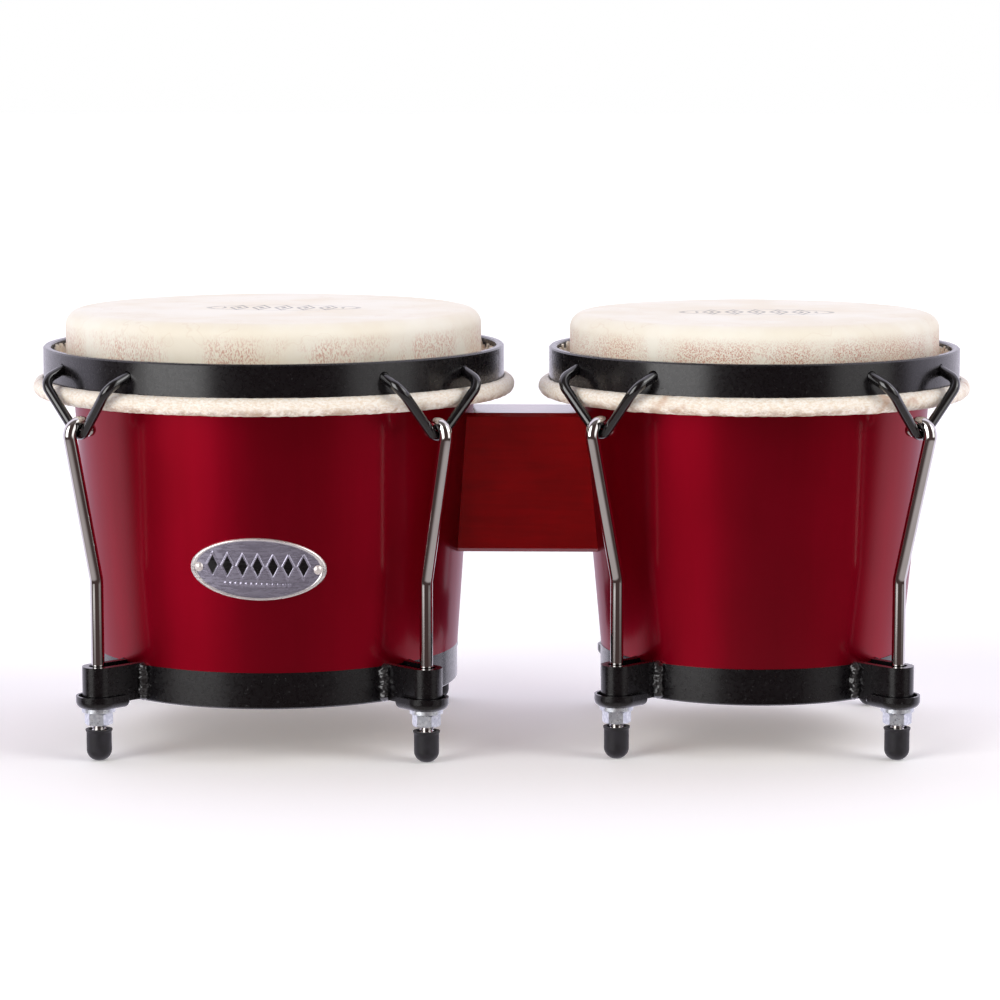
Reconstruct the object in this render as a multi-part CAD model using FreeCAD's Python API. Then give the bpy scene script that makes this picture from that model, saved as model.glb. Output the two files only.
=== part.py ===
import FreeCAD, Part
import math
import os

os.makedirs("parts", exist_ok=True)

# Bongo drums: two wooden shells on a centre block, each with a rawhide head pulled down by a steel
# counter hoop, four V-shaped wire links and four hooked tension rods that end in rubber feet.
# Millimetres. The floor is z = 0, +X runs from the large drum to the small one, -Y is the badge side.

V = FreeCAD.Vector
ORIGIN = V(0, 0, 0)
UP = V(0, 0, 1)

# Shell
RING_BOTTOM_Z = 22.8
RING_TOP_Z = 37.5
WALL = 10.0
RING_THICKNESS = 3.0
REBATE_GAP = 0.02
BEARING_EDGE_RADIUS = 5.0
BEARING_EDGE_FLAT = 2.0

# Head
SKIN = 1.2
SKIN_GAP = 0.05
SEAM_Z = 152.5
SEAM_GAP = 0.4
FLESH_TUBE_RADIUS = 3.7
FLESH_CORE_RADIUS = 1.75
FLESH_CORE_DROP = 0.75
FLESH_CENTRE_BELOW_HOOP = 1.25
TRIM_TOP_Z = 152.6
TRIM_GAP = 0.2

# Counter hoop
HOOP_THICKNESS = 3.2
HOOP_HEIGHT = 15.3
HOOP_EDGE = 0.6

# V-shaped link
LINK_WIRE_RADIUS = 2.0
LINK_HALF_SPAN = 21.1
LINK_HOLE_Z = 155.8
LINK_HOLE_RADIUS = 2.25
LINK_SHOULDER_Z = 151.9
LINK_BOTTOM_Z = 132.0
LINK_BOTTOM_BEND = 5.0
LINK_SHOULDER_BEND = 6.0
LINK_END_BEND = 2.6
LINK_END_INSET = 2.5
LINK_END_TOP_Z = 161.0

# Tension rod
ROD_RADIUS = 2.65
THREAD_RADIUS = 2.95
THREAD_TOP_Z = 33.0
THREAD_CHAMFER = 0.6
ROD_BOTTOM_Z = 2.5
ROD_KNEE_Z = 73.0
ROD_KNEE_BEND = 12.0
HOOK_RADIUS = 4.9
HOOK_CENTRE_Z = 131.85
HOOK_END_ANGLE = 160.0

# Rubber foot
FOOT_RADIUS = 5.05
FOOT_DOME = 4.4
FOOT_LIP = 0.35
FOOT_LIP_START = 1.2
FOOT_LIP_FULL = 0.4
FOOT_BORE_RADIUS = 2.97
FOOT_MOUTH_RADIUS = 4.1
FOOT_MOUTH_DEPTH = 2.0

# M6 nut and washer
NUT_ACROSS_FLATS = 10.0
NUT_BOTTOM_Z = 14.7
NUT_TOP_Z = 19.6
NUT_BORE_RADIUS = 3.0
NUT_COUNTERSINK = 0.5
NUT_CORNER_SLOPE = 0.6
WASHER_RADIUS = 6.7
WASHER_BORE_RADIUS = 3.35
WASHER_BOTTOM_Z = 19.9
WASHER_TOP_Z = 21.5

# Lug: dished plate, U-shaped strap and the weld beads that hold the strap on the bottom ring
PLATE_TOP_Z = 23.7
PLATE_LIP_Z = 26.5
PLATE_RADIUS = 9.0
PLATE_LIP = 1.0
PLATE_EDGE = 2.8
PLATE_INNER_REACH = 11.5
PLATE_CLIP = 3.0
PLATE_INNER_CLIP = 2.4
ROD_HOLE_RADIUS = 3.4
STRAP_RADIUS = 6.4
STRAP_THICKNESS = 2.7
STRAP_TOP_Z = 38.3
WELD_RADIUS = 2.9
WELD_RIPPLE = 0.45
WELD_RIPPLES = 6
WELD_INSET = 1.0

# Centre block and the bolts that hold the shells on it
BLOCK_BOTTOM_Z = 77.85
BLOCK_TOP_Z = 135.3
BLOCK_DEPTH = 36.0
BLOCK_EDGE = 1.5
BOLT_HEIGHTS = (94.0, 121.0)
BOLT_RADIUS = 3.0
BOLT_HOLE_RADIUS = 3.3
BOLT_ACROSS_FLATS = 10.0
BOLT_HEAD_HEIGHT = 4.0
BOLT_ENGAGEMENT = 20.0
BOLT_HOLE_SPARE = 1.0
SPOTFACE_RADIUS = 8.0
SPOTFACE_DEPTH = 0.7
BLOCK_WASHER_RADIUS = 6.5
BLOCK_WASHER_THICKNESS = 1.6

# Badge
BADGE_Z = 79.7
BADGE_WIDTH = 54.0
BADGE_HEIGHT = 25.0
BADGE_TILT = 1.4
BADGE_THICKNESS = 0.9
BADGE_RIM = 1.4
BADGE_RIM_RISE = 0.6
PIN_OFFSET = 23.4
PIN_SHANK_RADIUS = 0.9
PIN_HEAD_RADIUS = 1.9
PIN_HEAD_RISE = 1.0
PIN_HEAD_GAP = 0.15
PIN_DEPTH = 7.0

LUG_ANGLES = (225.0, 315.0, 46.5, 133.5)
NUT_TURNS = (12.0, 38.0, 5.0, 25.0)


class Drum:
    """The dimensions in which the two drums differ."""

    def __init__(self, name, x, block_side):
        self.name = name
        self.x = x
        self.block_side = block_side

    def cone(self, z):
        return self.foot_radius + self.flare * (z - RING_TOP_Z)

    def hoop_top(self):
        return self.hoop_bottom_z + HOOP_HEIGHT

    def bearing_z(self):
        return self.head_top_z - SKIN

    def flesh_z(self):
        return self.hoop_bottom_z - FLESH_CENTRE_BELOW_HOOP


large = Drum("large", -93.75, 1)
large.foot_radius = 75.6
large.flare = 0.0687
large.ring_radius = 75.4
large.collar_radius = 85.65
large.head_top_z = 177.0
large.flesh_radius = 99.4
large.hoop_radius = 95.0
large.hoop_bottom_z = 146.9
large.shoulder_radius = 102.0
large.hook_centre = 100.0
large.rod_axis = 93.0
large.foot_top_z = 12.7

small = Drum("small", 104.35, -1)
small.foot_radius = 62.5
small.flare = 0.094
small.ring_radius = 62.7
small.collar_radius = 75.9
small.head_top_z = 175.6
small.flesh_radius = 88.8
small.hoop_radius = 84.4
small.hoop_bottom_z = 146.4
small.shoulder_radius = 91.2
small.hook_centre = 89.2
small.rod_axis = 79.6
small.foot_top_z = 13.1

DRUMS = (large, small)


def export(shape, node):
    shape.exportStep("parts/" + node + ".step")


def outline_face(corners):
    """Face in the XZ plane through (x, z) corners."""
    points = [V(x, 0, z) for x, z in corners]
    return Part.Face(Part.makePolygon(points + points[:1]))


def core_face(drum):
    """Section of the steel flesh ring in the XZ plane."""
    centre = V(drum.flesh_radius - FLESH_TUBE_RADIUS, 0, drum.flesh_z() - FLESH_CORE_DROP)
    return Part.Face(Part.Wire([Part.makeCircle(FLESH_CORE_RADIUS, centre, V(0, 1, 0))]))


def turned(drum, corners):
    """Solid turned about the drum's axis from (radius, height) corners."""
    solid = outline_face(corners).revolve(ORIGIN, UP, 360)
    solid.translate(V(drum.x, 0, 0))
    return solid


def make_flesh_ring(drum):
    """Round steel ring inside the rolled rim of the hide."""
    ring = core_face(drum).revolve(ORIGIN, UP, 360)
    ring.translate(V(drum.x, 0, 0))
    return ring


def at_lug(drum, shape, angle):
    """Place a shape made with +X as the lug's outward direction."""
    placed = shape.copy()
    placed.rotate(ORIGIN, UP, angle)
    placed.translate(V(drum.x, 0, 0))
    return placed


def rounded_path(points, bends):
    """Straight runs through the points with each corner rounded to its bend radius."""
    edges = []
    start = points[0]
    for before, corner, after, bend in zip(points, points[1:], points[2:], bends):
        incoming = (before - corner).normalize()
        outgoing = (after - corner).normalize()
        half = incoming.getAngle(outgoing) / 2
        reach = bend / math.tan(half)
        bisector = (incoming + outgoing).normalize()
        middle = corner + bisector * (bend / math.sin(half) - bend)
        arc_start = corner + incoming * reach
        arc_end = corner + outgoing * reach
        edges.append(Part.makeLine(start, arc_start))
        edges.append(Part.Arc(arc_start, middle, arc_end).toShape())
        start = arc_end
    edges.append(Part.makeLine(start, points[-1]))
    return edges


def swept_round(edges, radius):
    """Round bar that follows the path."""
    first = edges[0]
    start = first.valueAt(first.FirstParameter)
    direction = first.tangentAt(first.FirstParameter)
    profile = Part.Wire([Part.makeCircle(radius, start, direction)])
    return Part.Wire(edges).makePipeShell([profile], True, True)


def cone_solid(drum, extra, bottom_z, top_z):
    """Solid inside the shell's outer surface, grown outward by extra."""
    bottom = drum.cone(bottom_z) + extra
    top = drum.cone(top_z) + extra
    return Part.makeCone(bottom, top, top_z - bottom_z, V(drum.x, 0, bottom_z), UP)


def hexagon(across_flats, height, base, turn):
    """Hexagonal prism with its axis along Z."""
    corner_radius = across_flats / math.sqrt(3)
    corners = []
    for step in range(7):
        angle = math.radians(60 * step + turn)
        corners.append(base + V(corner_radius * math.cos(angle), corner_radius * math.sin(angle), 0))
    return Part.Face(Part.makePolygon(corners)).extrude(V(0, 0, height))


def seat_x(drum, z):
    """Distance from the drum's axis to the flat washer seat inside the shell at height z."""
    return drum.cone(z) - WALL + SPOTFACE_DEPTH


def toward_block(drum, shape, z):
    """Place a shape made along +Z with its base at the seat, pointing from the axis to the block."""
    placed = shape.copy()
    placed.rotate(ORIGIN, V(0, 1, 0), 90 * drum.block_side)
    placed.translate(V(drum.x + drum.block_side * seat_x(drum, z), 0, z))
    return placed


def badge_oval(inset, rise):
    """Oval slab of the badge outline, curved to the shell and rise thick."""
    ellipse = Part.Ellipse(ORIGIN, BADGE_WIDTH / 2 - inset, BADGE_HEIGHT / 2 - inset)
    prism = Part.Face(Part.Wire([ellipse.toShape()])).extrude(V(0, 0, 2 * large.foot_radius))
    prism.rotate(ORIGIN, V(1, 0, 0), 90)
    prism.rotate(ORIGIN, V(0, 1, 0), BADGE_TILT)
    prism.translate(V(large.x, 0, BADGE_Z))
    low = BADGE_Z - BADGE_HEIGHT
    high = BADGE_Z + BADGE_HEIGHT
    skin = cone_solid(large, rise, low, high).cut(cone_solid(large, 0, low, high))
    return prism.common(skin)


def pin_axis(side):
    """Where a badge pin's axis leaves the drum's axis, and its direction."""
    tilt = math.radians(BADGE_TILT)
    across = side * PIN_OFFSET * math.cos(tilt)
    z = BADGE_Z - side * PIN_OFFSET * math.sin(tilt)
    direction = V(across, -math.sqrt(large.cone(z) ** 2 - across ** 2), 0).normalize()
    return V(large.x, 0, z), direction


def badge_pin(side, radius, inner, outer):
    """Cylinder along the badge pin's axis, from inner to outer distance from the drum's axis."""
    origin, direction = pin_axis(side)
    return Part.makeCylinder(radius, outer - inner, origin + direction * inner, direction)


def make_shell(drum):
    """Staved wooden shell with a rebate for the bottom ring and a rounded bearing edge."""
    outer = drum.collar_radius - SKIN - SKIN_GAP
    rebate = drum.ring_radius - RING_THICKNESS - REBATE_GAP
    cone_top_z = RING_TOP_Z + (outer - drum.foot_radius) / drum.flare
    edge_z = drum.bearing_z()
    arc_z = edge_z - BEARING_EDGE_RADIUS
    arc_x = outer - BEARING_EDGE_RADIUS
    inner_top = outer - WALL
    bend = BEARING_EDGE_RADIUS * math.sqrt(0.5)
    crest = V(arc_x, 0, edge_z)
    side = V(outer, 0, arc_z)
    arc = Part.Arc(side, V(arc_x + bend, 0, arc_z + bend), crest).toShape()
    inner_edge_z = edge_z - (arc_x - BEARING_EDGE_FLAT - inner_top)
    points = [
        crest,
        V(arc_x - BEARING_EDGE_FLAT, 0, edge_z),
        V(inner_top, 0, inner_edge_z),
        V(drum.cone(RING_BOTTOM_Z) - WALL, 0, RING_BOTTOM_Z),
        V(rebate, 0, RING_BOTTOM_Z),
        V(rebate, 0, RING_TOP_Z),
        V(drum.foot_radius, 0, RING_TOP_Z),
        V(outer, 0, cone_top_z),
        side,
    ]
    edges = [arc]
    for start, end in zip(points, points[1:]):
        edges.append(Part.makeLine(start, end))
    shell = Part.Face(Part.Wire(edges)).revolve(ORIGIN, UP, 360)
    shell.translate(V(drum.x, 0, 0))
    for z in BOLT_HEIGHTS:
        spotface = Part.makeCylinder(SPOTFACE_RADIUS, WALL, V(0, 0, -WALL), UP)
        hole = Part.makeCylinder(BOLT_HOLE_RADIUS, 2 * WALL, V(0, 0, -WALL / 2), UP)
        shell = shell.cut(toward_block(drum, spotface, z))
        shell = shell.cut(toward_block(drum, hole, z))
    return shell


def make_head_skin(drum):
    """Rawhide stretched over the bearing edge, down to the seam above the flesh ring."""
    outer = drum.collar_radius
    inner = outer - SKIN
    big = BEARING_EDGE_RADIUS + SKIN
    arc_x = inner - BEARING_EDGE_RADIUS
    arc_z = drum.bearing_z() - BEARING_EDGE_RADIUS
    low = SEAM_Z + SEAM_GAP
    lean = math.sqrt(0.5)
    top = drum.head_top_z
    outer_middle = V(arc_x + big * lean, 0, arc_z + big * lean)
    edges = [
        Part.makeLine(V(0, 0, top), V(arc_x, 0, top)),
        Part.Arc(V(arc_x, 0, top), outer_middle, V(outer, 0, arc_z)).toShape(),
        Part.makeLine(V(outer, 0, arc_z), V(outer, 0, low)),
        Part.makeLine(V(outer, 0, low), V(inner, 0, low)),
        Part.makeLine(V(inner, 0, low), V(inner, 0, arc_z)),
        Part.Arc(
            V(inner, 0, arc_z),
            V(arc_x + BEARING_EDGE_RADIUS * lean, 0, arc_z + BEARING_EDGE_RADIUS * lean),
            V(arc_x, 0, top - SKIN),
        ).toShape(),
        Part.makeLine(V(arc_x, 0, top - SKIN), V(0, 0, top - SKIN)),
        Part.makeLine(V(0, 0, top - SKIN), V(0, 0, top)),
    ]
    skin = Part.Face(Part.Wire(edges)).revolve(ORIGIN, UP, 360)
    skin.translate(V(drum.x, 0, 0))
    return skin


def make_hoop(drum):
    """Flat steel band with softened edges, drilled for the ends of the links."""
    outer = drum.hoop_radius
    inner = outer - HOOP_THICKNESS
    low = drum.hoop_bottom_z
    high = drum.hoop_top()
    hoop = turned(drum, [
        (inner, low),
        (outer - HOOP_EDGE, low),
        (outer, low + HOOP_EDGE),
        (outer, high - HOOP_EDGE),
        (outer - HOOP_EDGE, high),
        (inner + HOOP_EDGE, high),
        (inner, high - HOOP_EDGE),
    ])
    for angle in LUG_ANGLES:
        for side in (-1, 1):
            start, end = link_stub(drum, side)
            hole = Part.makeCylinder(LINK_HOLE_RADIUS, (end - start).Length, start, end - start)
            hoop = hoop.cut(at_lug(drum, hole, angle))
    return hoop


def make_wrap(drum):
    """Rim of the hide: it flares out under the flesh ring, wraps it and is trimmed inside the hoop."""
    centre_x = drum.flesh_radius - FLESH_TUBE_RADIUS
    centre_z = drum.flesh_z()
    seam_x = drum.collar_radius - SKIN
    fall = SEAM_Z - centre_z
    to_centre = math.hypot(centre_x - seam_x, fall)
    slope = math.atan2(fall, centre_x - seam_x) + math.asin(FLESH_TUBE_RADIUS / to_centre)
    run = math.sqrt(to_centre ** 2 - FLESH_TUBE_RADIUS ** 2)
    touch = V(seam_x + run * math.cos(slope), 0, SEAM_Z - run * math.sin(slope))
    lean = FLESH_TUBE_RADIUS * math.sqrt(0.5)
    hoop_outer = drum.hoop_radius
    crest_z = centre_z + math.sqrt(FLESH_TUBE_RADIUS ** 2 - (hoop_outer - centre_x) ** 2)
    crest = V(hoop_outer, 0, crest_z)
    trim_outer = hoop_outer - HOOP_THICKNESS - TRIM_GAP
    trim_inner = trim_outer - SKIN
    edges = [Part.Arc(touch, V(centre_x + lean, 0, centre_z - lean), crest).toShape()]
    corners = [
        crest,
        V(hoop_outer, 0, drum.hoop_bottom_z),
        V(trim_outer, 0, drum.hoop_bottom_z),
        V(trim_outer, 0, TRIM_TOP_Z),
        V(trim_inner, 0, TRIM_TOP_Z),
        V(trim_inner, 0, SEAM_Z - (trim_inner - drum.collar_radius) * math.tan(slope)),
        V(drum.collar_radius, 0, SEAM_Z),
        V(seam_x, 0, SEAM_Z),
        touch,
    ]
    for start, end in zip(corners, corners[1:]):
        edges.append(Part.makeLine(start, end))
    section = Part.Face(Part.Wire(edges)).cut(core_face(drum))
    wrap = section.Faces[0].revolve(ORIGIN, UP, 360)
    wrap.translate(V(drum.x, 0, 0))
    return wrap


def link_stub(drum, side):
    """The straight end of a link that passes through the hoop, from inside to the shoulder."""
    inner = math.sqrt((drum.hoop_radius - HOOP_THICKNESS) ** 2 - LINK_HALF_SPAN ** 2)
    outer = math.sqrt(drum.hoop_radius ** 2 - LINK_HALF_SPAN ** 2)
    start_x = inner - LINK_END_INSET
    fall = (LINK_HOLE_Z - LINK_SHOULDER_Z) / (drum.shoulder_radius - outer)
    start_z = LINK_HOLE_Z + fall * (outer - start_x)
    start = V(start_x, side * LINK_HALF_SPAN, start_z)
    end = V(drum.shoulder_radius, side * LINK_HALF_SPAN, LINK_SHOULDER_Z)
    return start, end


def link_corner(drum):
    """Sharp corner of the V whose rounded bend passes through the seat in the hook."""
    seat = V(drum.hook_centre, 0, LINK_BOTTOM_Z)
    climb = V(drum.shoulder_radius, 0, LINK_SHOULDER_Z) - seat
    ratio = LINK_BOTTOM_BEND / LINK_HALF_SPAN
    shortened = climb.Length - LINK_BOTTOM_BEND
    spread = 1 - ratio ** 2
    root = math.sqrt(shortened ** 2 - spread * (shortened ** 2 - LINK_BOTTOM_BEND ** 2))
    depth = (shortened + root) / spread
    return seat - climb * ((depth - climb.Length) / climb.Length)


def make_link(drum):
    """V-shaped wire link, made for the lug direction +X."""
    left_start, left_shoulder = link_stub(drum, -1)
    right_start, right_shoulder = link_stub(drum, 1)
    points = [
        V(left_start.x, left_start.y, LINK_END_TOP_Z),
        left_start,
        left_shoulder,
        link_corner(drum),
        right_shoulder,
        right_start,
        V(right_start.x, right_start.y, LINK_END_TOP_Z),
    ]
    bends = [LINK_END_BEND, LINK_SHOULDER_BEND, LINK_BOTTOM_BEND, LINK_SHOULDER_BEND, LINK_END_BEND]
    return swept_round(rounded_path(points, bends), LINK_WIRE_RADIUS)


def make_rod(drum):
    """Hooked tension rod with a rolled thread at its lower end, made for the lug direction +X."""
    centre = V(drum.hook_centre, 0, HOOK_CENTRE_Z)
    knee = V(drum.rod_axis, 0, ROD_KNEE_Z)
    to_centre = (centre - knee).Length
    aim = math.atan2(centre.z - knee.z, centre.x - knee.x) - math.asin(HOOK_RADIUS / to_centre)
    leave = aim - math.pi / 2
    hook_end = math.radians(HOOK_END_ANGLE)
    half_way = (leave + hook_end) / 2
    arc_points = []
    for angle in (hook_end, half_way, leave):
        arc_points.append(centre + V(math.cos(angle), 0, math.sin(angle)) * HOOK_RADIUS)
    shank = rounded_path([arc_points[2], knee, V(drum.rod_axis, 0, THREAD_TOP_Z)], [ROD_KNEE_BEND])
    rod = swept_round([Part.Arc(*arc_points).toShape()] + shank, ROD_RADIUS)
    tip = Part.makeSphere(ROD_RADIUS, arc_points[0])
    step = THREAD_RADIUS - ROD_RADIUS
    thread = outline_face([
        (0, ROD_BOTTOM_Z),
        (THREAD_RADIUS - THREAD_CHAMFER, ROD_BOTTOM_Z),
        (THREAD_RADIUS, ROD_BOTTOM_Z + THREAD_CHAMFER),
        (THREAD_RADIUS, THREAD_TOP_Z - step),
        (ROD_RADIUS, THREAD_TOP_Z),
        (0, THREAD_TOP_Z),
    ]).revolve(ORIGIN, UP, 360)
    thread.translate(V(drum.rod_axis, 0, 0))
    return rod.fuse([tip, thread])


def make_foot(drum):
    """Rubber cap pushed onto the rod's end, domed below with a flared lip above."""
    top = drum.foot_top_z
    edges = [
        Part.makeLine(V(0, 0, 0), V(FOOT_RADIUS - FOOT_DOME, 0, 0)),
        Part.Arc(
            V(FOOT_RADIUS - FOOT_DOME, 0, 0),
            V(FOOT_RADIUS - FOOT_DOME * (1 - math.sqrt(0.5)), 0, FOOT_DOME * (1 - math.sqrt(0.5))),
            V(FOOT_RADIUS, 0, FOOT_DOME),
        ).toShape(),
    ]
    corners = [
        (FOOT_RADIUS, FOOT_DOME),
        (FOOT_RADIUS, top - FOOT_LIP_START),
        (FOOT_RADIUS + FOOT_LIP, top - FOOT_LIP_FULL),
        (FOOT_RADIUS + FOOT_LIP, top),
        (FOOT_MOUTH_RADIUS, top),
        (FOOT_BORE_RADIUS, top - FOOT_MOUTH_DEPTH),
        (FOOT_BORE_RADIUS, ROD_BOTTOM_Z),
        (0, ROD_BOTTOM_Z),
        (0, 0),
    ]
    for start, end in zip(corners, corners[1:]):
        edges.append(Part.makeLine(V(start[0], 0, start[1]), V(end[0], 0, end[1])))
    foot = Part.Face(Part.Wire(edges)).revolve(ORIGIN, UP, 360)
    foot.translate(V(drum.rod_axis, 0, 0))
    return foot


def make_nut(drum, turn):
    """M6 hexagon nut with chamfered corners and countersunk bore."""
    height = NUT_TOP_Z - NUT_BOTTOM_Z
    corner = NUT_ACROSS_FLATS / math.sqrt(3)
    base = V(0, 0, NUT_BOTTOM_Z)
    nut = hexagon(NUT_ACROSS_FLATS, height, base, turn)
    slope = corner - NUT_ACROSS_FLATS / 2
    barrel = outline_face([
        (0, NUT_BOTTOM_Z),
        (corner - slope, NUT_BOTTOM_Z),
        (corner, NUT_BOTTOM_Z + slope * NUT_CORNER_SLOPE),
        (corner, NUT_TOP_Z - slope * NUT_CORNER_SLOPE),
        (corner - slope, NUT_TOP_Z),
        (0, NUT_TOP_Z),
    ]).revolve(ORIGIN, UP, 360)
    nut = nut.common(barrel)
    bore = outline_face([
        (0, NUT_BOTTOM_Z),
        (NUT_BORE_RADIUS + NUT_COUNTERSINK, NUT_BOTTOM_Z),
        (NUT_BORE_RADIUS, NUT_BOTTOM_Z + NUT_COUNTERSINK),
        (NUT_BORE_RADIUS, NUT_TOP_Z - NUT_COUNTERSINK),
        (NUT_BORE_RADIUS + NUT_COUNTERSINK, NUT_TOP_Z),
        (0, NUT_TOP_Z),
    ]).revolve(ORIGIN, UP, 360)
    nut = nut.cut(bore)
    nut.translate(V(drum.rod_axis, 0, 0))
    return nut


def make_lug_washer(drum):
    height = WASHER_TOP_Z - WASHER_BOTTOM_Z
    base = V(drum.rod_axis, 0, WASHER_BOTTOM_Z)
    disc = Part.makeCylinder(WASHER_RADIUS, height, base)
    return disc.cut(Part.makeCylinder(WASHER_BORE_RADIUS, height, base))


def tray_outline(inset, reach):
    """Plate outline about the rod axis: round outside, straight sides, clipped inner corners."""
    radius = PLATE_RADIUS - inset
    clip = PLATE_INNER_CLIP if inset else PLATE_CLIP
    start = V(0, radius, 0)
    end = V(0, -radius, 0)
    edges = [Part.Arc(start, V(radius, 0, 0), end).toShape()]
    corners = [
        end,
        V(clip - reach, -radius, 0),
        V(-reach, clip - radius, 0),
        V(-reach, radius - clip, 0),
        V(clip - reach, radius, 0),
        start,
    ]
    for first, second in zip(corners, corners[1:]):
        edges.append(Part.makeLine(first, second))
    return Part.Face(Part.Wire(edges))


def make_plate(drum):
    """Stamped plate with an upturned lip under each lug."""
    body = tray_outline(0, PLATE_INNER_REACH).extrude(V(0, 0, PLATE_LIP_Z - WASHER_TOP_Z))
    under = [edge for edge in body.Edges if edge.BoundBox.ZMax < 0.001]
    body = body.makeFillet(PLATE_EDGE, under)
    body.translate(V(0, 0, WASHER_TOP_Z))
    pocket = tray_outline(PLATE_LIP, 2 * PLATE_INNER_REACH).extrude(V(0, 0, PLATE_LIP_Z))
    pocket.translate(V(0, 0, PLATE_TOP_Z))
    hole = Part.makeCylinder(ROD_HOLE_RADIUS, PLATE_LIP_Z)
    plate = body.cut(pocket).cut(hole)
    plate.translate(V(drum.rod_axis, 0, 0))
    return plate


def make_strap(drum):
    """U-shaped strap round the rod with both legs butted against the bottom ring."""
    height = STRAP_TOP_Z - PLATE_TOP_Z
    inner = STRAP_RADIUS - STRAP_THICKNESS
    base = V(drum.rod_axis, 0, PLATE_TOP_Z)
    reach = drum.rod_axis - drum.ring_radius / 2
    outside = Part.makeCylinder(STRAP_RADIUS, height, base)
    outside = outside.fuse(Part.makeBox(reach, 2 * STRAP_RADIUS, height, base - V(reach, STRAP_RADIUS, 0)))
    inside = Part.makeCylinder(inner, height, base)
    inside = inside.fuse(Part.makeBox(reach, 2 * inner, height, base - V(reach, inner, 0)))
    strap = outside.cut(inside).cut(Part.makeCylinder(drum.ring_radius, RING_TOP_Z))
    shell_radius = drum.cone(STRAP_TOP_Z) + REBATE_GAP
    strap = strap.cut(Part.makeCylinder(shell_radius, RING_TOP_Z, V(0, 0, RING_TOP_Z)))
    return strap.removeSplitter()


def make_weld(drum, side):
    """Rippled weld bead in the corner between a strap leg and the ring."""
    low = RING_BOTTOM_Z + WELD_INSET
    high = RING_TOP_Z - WELD_INSET / 2
    pitch = (high - low) / WELD_RIPPLES
    x = math.sqrt(drum.ring_radius ** 2 - STRAP_RADIUS ** 2)
    corners = [(0, low - WELD_INSET / 2)]
    for ripple in range(WELD_RIPPLES):
        z = low + ripple * pitch
        corners.append((WELD_RADIUS - WELD_RIPPLE, z))
        corners.append((WELD_RADIUS, z + pitch / 2))
    corners.append((WELD_RADIUS - WELD_RIPPLE, high))
    corners.append((0, high + WELD_INSET / 2))
    bead = outline_face(corners).revolve(ORIGIN, UP, 360)
    bead.translate(V(x, side * STRAP_RADIUS, 0))
    keep = Part.makeBox(2 * WELD_RADIUS, 2 * WELD_RADIUS, RING_TOP_Z, V(x - WELD_RADIUS, 0, 0))
    keep.translate(V(0, STRAP_RADIUS if side > 0 else -STRAP_RADIUS - 2 * WELD_RADIUS, 0))
    return bead.common(keep).cut(Part.makeCylinder(drum.ring_radius, RING_TOP_Z))


def make_bottom_ring(drum):
    inner = drum.ring_radius - RING_THICKNESS
    return turned(drum, [
        (inner, RING_BOTTOM_Z),
        (drum.ring_radius - HOOP_EDGE, RING_BOTTOM_Z),
        (drum.ring_radius, RING_BOTTOM_Z + HOOP_EDGE),
        (drum.ring_radius, RING_TOP_Z),
        (inner, RING_TOP_Z),
    ])


def make_block():
    """Centre block, hollowed at both ends to seat on the two cones."""
    length = small.x - large.x
    height = BLOCK_TOP_Z - BLOCK_BOTTOM_Z
    block = Part.makeBox(length, BLOCK_DEPTH, height, V(large.x, -BLOCK_DEPTH / 2, BLOCK_BOTTOM_Z))
    long_edges = [edge for edge in block.Edges if edge.BoundBox.XLength > length / 2]
    block = block.makeChamfer(BLOCK_EDGE, long_edges)
    for drum in DRUMS:
        block = block.cut(cone_solid(drum, 0, RING_TOP_Z, BLOCK_TOP_Z + WALL))
        for z in BOLT_HEIGHTS:
            depth = WALL - SPOTFACE_DEPTH + BOLT_ENGAGEMENT + BOLT_HOLE_SPARE
            hole = Part.makeCylinder(BOLT_RADIUS + REBATE_GAP, depth)
            block = block.cut(toward_block(drum, hole, z))
    return block


def make_block_bolt(drum, z):
    """Hexagon bolt from inside the shell into the centre block."""
    under_head = -BLOCK_WASHER_THICKNESS
    length = WALL - SPOTFACE_DEPTH + BOLT_ENGAGEMENT - under_head
    shank = Part.makeCylinder(BOLT_RADIUS, length, V(0, 0, under_head))
    head = hexagon(BOLT_ACROSS_FLATS, BOLT_HEAD_HEIGHT, V(0, 0, under_head - BOLT_HEAD_HEIGHT), 0)
    return toward_block(drum, shank.fuse(head), z)


def make_block_washer(drum, z):
    base = V(0, 0, -BLOCK_WASHER_THICKNESS)
    washer = Part.makeCylinder(BLOCK_WASHER_RADIUS, BLOCK_WASHER_THICKNESS, base)
    washer = washer.cut(Part.makeCylinder(BOLT_HOLE_RADIUS, BLOCK_WASHER_THICKNESS, base))
    return toward_block(drum, washer, z)


def make_badge():
    """Oval metal plate curved to the shell, with a raised rim and two pin holes."""
    rim = badge_oval(0, BADGE_THICKNESS + BADGE_RIM_RISE).cut(badge_oval(BADGE_RIM, 2 * BADGE_THICKNESS))
    badge = badge_oval(0, BADGE_THICKNESS).fuse(rim).removeSplitter()
    reach = large.cone(BADGE_Z)
    for side in (-1, 1):
        badge = badge.cut(badge_pin(side, PIN_SHANK_RADIUS, reach - PIN_DEPTH, reach + PIN_DEPTH))
    return badge


def make_badge_pin(side):
    """Domed pin that holds one end of the badge."""
    surface = large.cone(BADGE_Z) + BADGE_THICKNESS
    shank = badge_pin(side, PIN_SHANK_RADIUS, surface - PIN_DEPTH, surface + PIN_HEAD_RISE / 4)
    ball_radius = (PIN_HEAD_RADIUS ** 2 + PIN_HEAD_RISE ** 2) / (2 * PIN_HEAD_RISE)
    under_head = surface + PIN_HEAD_GAP
    head_zone = badge_pin(side, PIN_HEAD_RADIUS, under_head, under_head + 2 * PIN_HEAD_RISE)
    origin, direction = pin_axis(side)
    ball = Part.makeSphere(ball_radius, origin + direction * (under_head + PIN_HEAD_RISE - ball_radius))
    return shank.fuse(head_zone.common(ball))


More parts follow.
